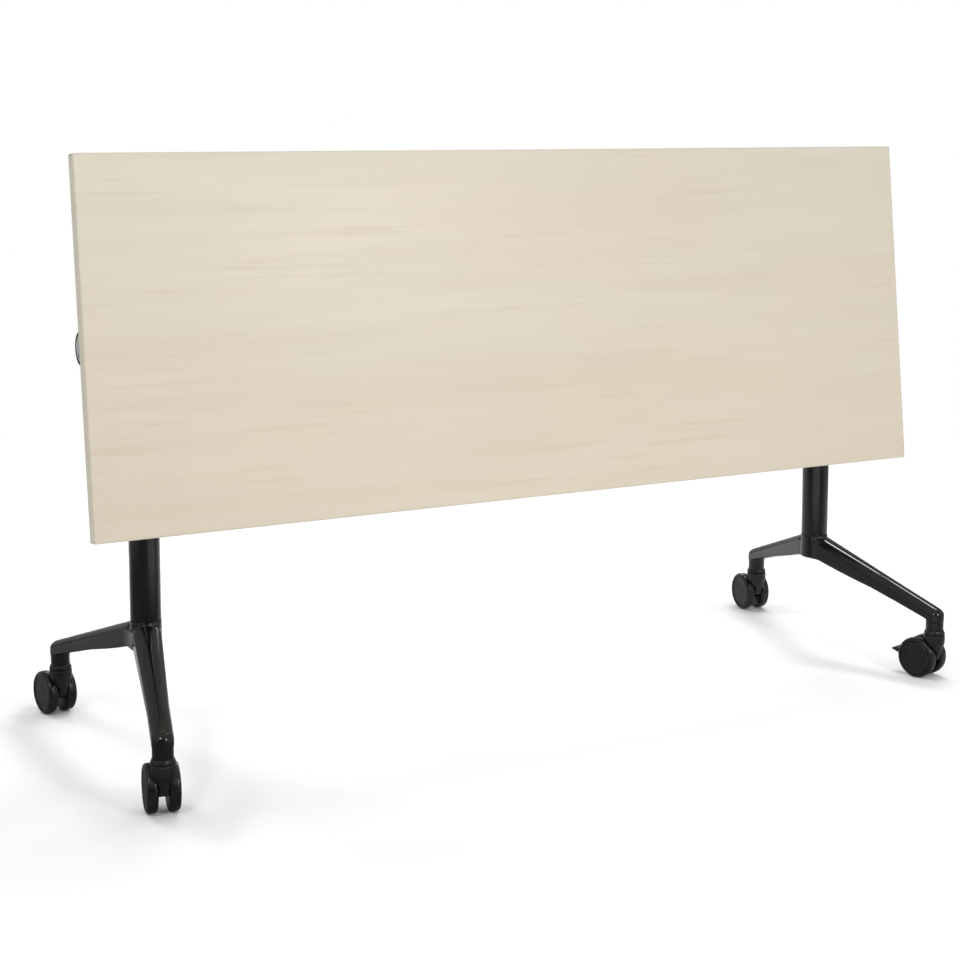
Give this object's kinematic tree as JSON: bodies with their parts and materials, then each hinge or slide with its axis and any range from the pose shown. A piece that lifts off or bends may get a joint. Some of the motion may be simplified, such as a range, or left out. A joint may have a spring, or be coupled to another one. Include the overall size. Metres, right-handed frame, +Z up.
{
  "type": "flip top training table",
  "caption": "Long table whose board tips upright on a beam between two columns with splayed feet and braked twin-wheel casters, for nesting in store.",
  "frame": {"origin": "on the floor, below the flip axis and midway between the two columns", "axes": "+X along the board to the right in the picture, +Y to the rear, away from the working face, +Z up"},
  "size_m": [1.6, 0.658, 0.9853],
  "materials": {
    "maple_laminate": "pale maple laminate, satin",
    "maple_edging": "matching plastic edge band, satin",
    "black_casting": "gloss black powder coat on a die casting",
    "black_tube": "gloss black powder coat on steel tube",
    "zinc_steel": "zinc plated",
    "bright_chrome": "polished",
    "grey_acetal": "moulded",
    "black_nylon": "moulded, satin",
    "black_tread": "moulded, semi-gloss",
    "black_rubber": "matt"
  },
  "bodies": {
    "frame": {"foot_left": "black_casting", "foot_right": "black_casting", "column_left": "black_tube", "column_right": "black_tube", "column_plug_left": "zinc_steel", "column_plug_right": "zinc_steel", "column_bolt_left": "zinc_steel", "column_bolt_right": "zinc_steel", "head_left": "black_casting", "head_right": "black_casting", "latch_sector_left": "zinc_steel", "latch_sector_right": "zinc_steel", "beam": "black_tube", "end_cap_left": "black_nylon", "end_cap_right": "black_nylon", "end_disc_left": "bright_chrome", "end_disc_right": "bright_chrome", "caster_stem_left_rear": "zinc_steel", "caster_stem_left_front": "zinc_steel", "caster_stem_right_rear": "zinc_steel", "caster_stem_right_front": "zinc_steel"},
    "top": {"board": "maple_laminate", "edge_band_rear": "maple_edging", "edge_band_front": "maple_edging", "edge_band_left": "maple_edging", "edge_band_right": "maple_edging", "inner_bracket_left": "black_casting", "inner_bracket_right": "black_casting", "outer_bracket_left": "black_casting", "outer_bracket_right": "black_casting", "inner_bush_left": "grey_acetal", "inner_bush_right": "grey_acetal", "outer_bush_left": "grey_acetal", "outer_bush_right": "grey_acetal", "stop_buffer_left": "black_rubber", "stop_buffer_right": "black_rubber", "rod_guide": "black_nylon", "release_spring": "zinc_steel"},
    "release": {"release_rod": "zinc_steel", "latch_dog_left": "zinc_steel", "latch_dog_right": "zinc_steel", "release_handle": "black_nylon"},
    "caster_left_rear": {"caster_body_left_rear": "black_nylon", "caster_axle_left_rear": "zinc_steel"},
    "caster_left_front": {"caster_body_left_front": "black_nylon", "caster_axle_left_front": "zinc_steel"},
    "caster_right_rear": {"caster_body_right_rear": "black_nylon", "caster_axle_right_rear": "zinc_steel"},
    "caster_right_front": {"caster_body_right_front": "black_nylon", "caster_axle_right_front": "zinc_steel"},
    "roller_a_left_rear": {"wheel_a_left_rear": "black_tread"},
    "roller_b_left_rear": {"wheel_b_left_rear": "black_tread"},
    "roller_a_left_front": {"wheel_a_left_front": "black_tread"},
    "roller_b_left_front": {"wheel_b_left_front": "black_tread"},
    "roller_a_right_rear": {"wheel_a_right_rear": "black_tread"},
    "roller_b_right_rear": {"wheel_b_right_rear": "black_tread"},
    "roller_a_right_front": {"wheel_a_right_front": "black_tread"},
    "roller_b_right_front": {"wheel_b_right_front": "black_tread"},
    "pedal_left_rear": {"brake_lever_left_rear": "black_nylon"},
    "pedal_right_front": {"brake_lever_right_front": "black_nylon"}
  },
  "joints": [
    {"name": "board_flip", "type": "hinge", "parent": "frame", "child": "top", "pos_m": [0, 0, 0.677], "axis": [-1, 0, 0], "range_deg": [0, 83.5]},
    {"name": "release_pull", "type": "hinge", "parent": "top", "child": "release", "pos_m": [0, -0.04993, 0.59211], "axis": [1, 0, 0], "range_deg": [0, 15], "stiffness_Nm_per_rad": 0.5, "springref_deg": -17.19},
    {"name": "swivel_left_rear", "type": "hinge", "parent": "frame", "child": "caster_left_rear", "pos_m": [-0.749, 0.276, 0.083], "axis": [0, 0, 1], "continuous": true},
    {"name": "swivel_left_front", "type": "hinge", "parent": "frame", "child": "caster_left_front", "pos_m": [-0.749, -0.276, 0.083], "axis": [0, 0, 1], "continuous": true},
    {"name": "swivel_right_rear", "type": "hinge", "parent": "frame", "child": "caster_right_rear", "pos_m": [0.749, 0.276, 0.083], "axis": [0, 0, 1], "continuous": true},
    {"name": "swivel_right_front", "type": "hinge", "parent": "frame", "child": "caster_right_front", "pos_m": [0.749, -0.276, 0.083], "axis": [0, 0, 1], "continuous": true},
    {"name": "roll_a_left_rear", "type": "hinge", "parent": "caster_left_rear", "child": "roller_a_left_rear", "pos_m": [-0.75291, 0.30069, 0.0375], "axis": [0.9877, 0.1564, 0], "continuous": true},
    {"name": "roll_b_left_rear", "type": "hinge", "parent": "caster_left_rear", "child": "roller_b_left_rear", "pos_m": [-0.75291, 0.30069, 0.0375], "axis": [0.9877, 0.1564, 0], "continuous": true},
    {"name": "roll_a_left_front", "type": "hinge", "parent": "caster_left_front", "child": "roller_a_left_front", "pos_m": [-0.74423, -0.25146, 0.0375], "axis": [0.9816, -0.1908, 0], "continuous": true},
    {"name": "roll_b_left_front", "type": "hinge", "parent": "caster_left_front", "child": "roller_b_left_front", "pos_m": [-0.74423, -0.25146, 0.0375], "axis": [0.9816, -0.1908, 0], "continuous": true},
    {"name": "roll_a_right_rear", "type": "hinge", "parent": "caster_right_rear", "child": "roller_a_right_rear", "pos_m": [0.75205, 0.30081, 0.0375], "axis": [0.9925, -0.1219, 0], "continuous": true},
    {"name": "roll_b_right_rear", "type": "hinge", "parent": "caster_right_rear", "child": "roller_b_right_rear", "pos_m": [0.75205, 0.30081, 0.0375], "axis": [0.9925, -0.1219, 0], "continuous": true},
    {"name": "roll_a_right_front", "type": "hinge", "parent": "caster_right_front", "child": "roller_a_right_front", "pos_m": [0.74211, -0.25197, 0.0375], "axis": [0.9613, 0.2756, 0], "continuous": true},
    {"name": "roll_b_right_front", "type": "hinge", "parent": "caster_right_front", "child": "roller_b_right_front", "pos_m": [0.74211, -0.25197, 0.0375], "axis": [0.9613, 0.2756, 0], "continuous": true},
    {"name": "brake_left_rear", "type": "hinge", "parent": "caster_left_rear", "child": "pedal_left_rear", "pos_m": [-0.7562, 0.32143, 0.047], "axis": [0.9877, 0.1564, 0], "range_deg": [0, 14]},
    {"name": "brake_right_front", "type": "hinge", "parent": "caster_right_front", "child": "pedal_right_front", "pos_m": [0.73632, -0.23178, 0.047], "axis": [0.9613, 0.2756, 0], "range_deg": [0, 14]}
  ]
}
